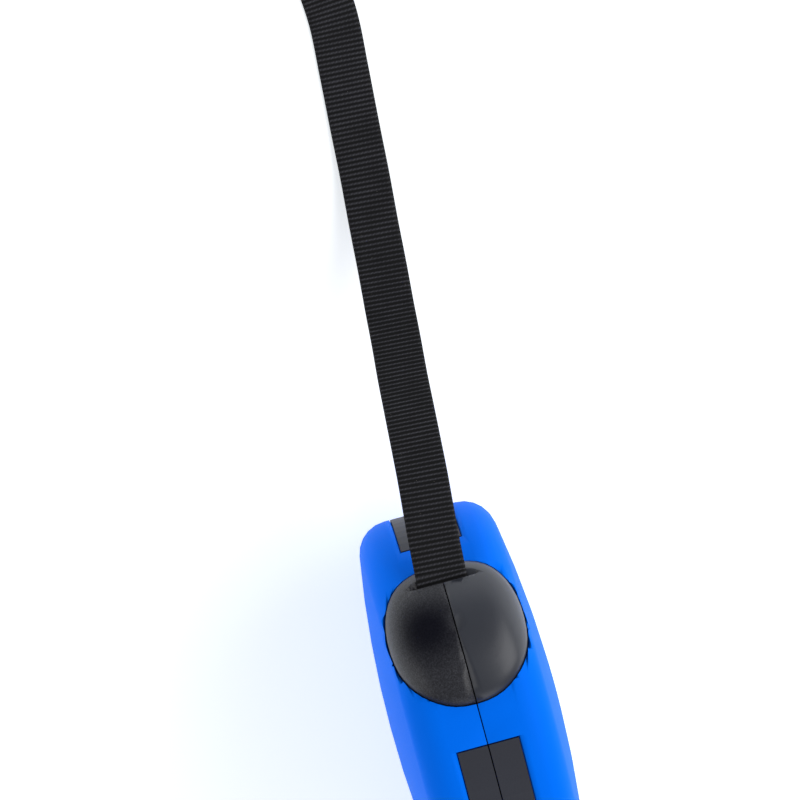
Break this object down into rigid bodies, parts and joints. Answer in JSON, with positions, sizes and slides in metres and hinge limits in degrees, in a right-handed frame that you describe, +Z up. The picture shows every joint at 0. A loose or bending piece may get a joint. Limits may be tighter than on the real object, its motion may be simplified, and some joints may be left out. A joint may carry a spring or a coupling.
{
  "type": "retractable leash",
  "caption": "Retractable tape leash: two-part housing with a handle, egg-shaped mouthpiece, spring reel, thumb brake with lock, and a tape ending in a swivel snap hook.",
  "frame": {"origin": "on the surface it stands on, under the middle of the housing", "axes": "+X forward along the tape, Y along the reel's axle, +Z up"},
  "size_m": [0.4001, 0.0409, 0.1101],
  "materials": {
    "blue_plastic": "satin moulded ABS with a fine grain",
    "black_plastic": "satin moulded plastic",
    "ratchet_plastic": "moulded acetal",
    "soft_plastic": "soft-touch elastomer",
    "reel_plastic": "natural acetal",
    "tape": "woven ribbed nylon tape",
    "steel": "turned steel",
    "spring_steel": "blued spring steel",
    "zinc": "nickel-plated zinc casting"
  },
  "bodies": {
    "housing": {"left_shell": "blue_plastic", "right_shell": "blue_plastic", "nozzle_left": "black_plastic", "nozzle_right": "black_plastic", "upper_inlay_left": "soft_plastic", "upper_inlay_right": "soft_plastic", "lower_inlay_left": "soft_plastic", "lower_inlay_right": "soft_plastic", "handle_grip_left": "soft_plastic", "handle_grip_right": "soft_plastic", "axle": "steel", "spring_arbor": "reel_plastic", "screw_1": "steel", "screw_2": "steel", "screw_3": "steel", "screw_4": "steel", "screw_centre": "steel", "pawl_pin": "steel", "roller_pin": "steel", "button_spring": "spring_steel", "tape_lead": "tape", "tape": "tape", "tape_loop": "tape"},
    "reel": {"reel": "reel_plastic", "reel_side_plate": "ratchet_plastic", "tape_winding": "tape", "tape_anchor_pin": "steel", "spring_cover": "reel_plastic", "power_spring": "spring_steel"},
    "button": {"brake_button": "black_plastic"},
    "lock": {"brake_lock": "soft_plastic"},
    "pawl": {"brake_pawl": "reel_plastic"},
    "roller": {"mouth_roller": "reel_plastic"},
    "eye": {"swivel_eye": "zinc"},
    "hook": {"hook_body": "zinc", "bolt_spring": "spring_steel"},
    "bolt": {"hook_bolt": "zinc"}
  },
  "joints": [
    {"name": "reel_spin", "type": "hinge", "parent": "housing", "child": "reel", "pos_m": [0.032, 0, 0.0482], "axis": [0, 1, 0], "continuous": true, "deforming": ["power_spring"]},
    {"name": "brake_press", "type": "slide", "parent": "housing", "child": "button", "axis": [-0.2084, 0, -0.978], "range_m": [0, 0.0042], "stiffness_N_per_m": 400, "springref_m": -0.002, "deforming": ["button_spring"]},
    {"name": "pawl_swing", "type": "hinge", "parent": "housing", "child": "pawl", "pos_m": [-0.011, 0, 0.0865], "axis": [0, 1, 0], "range_deg": [0, 13.3]},
    {"name": "lock_slide", "type": "slide", "parent": "button", "child": "lock", "axis": [0.978, 0, -0.2084], "range_m": [0, 0.0035]},
    {"name": "roller_spin", "type": "hinge", "parent": "housing", "child": "roller", "pos_m": [0.07262, 0, 0.07235], "axis": [0, 1, 0], "continuous": true},
    {"name": "eye_tilt", "type": "hinge", "parent": "housing", "child": "eye", "pos_m": [0.258, -0.0067, 0.0044], "axis": [0, 1, 0], "range_deg": [-60, 0]},
    {"name": "hook_swivel", "type": "hinge", "parent": "eye", "child": "hook", "pos_m": [0.2675, -0.0067, 0.0044], "axis": [1, 0, 0], "continuous": true},
    {"name": "bolt_slide", "type": "slide", "parent": "hook", "child": "bolt", "axis": [-1, 0, 0], "range_m": [0, 0.007], "stiffness_N_per_m": 250, "springref_m": -0.003, "deforming": ["bolt_spring"]}
  ],
  "couplings": [
    {"joint": "pawl_swing", "follows": "brake_press", "rad_per_m": 55}
  ]
}
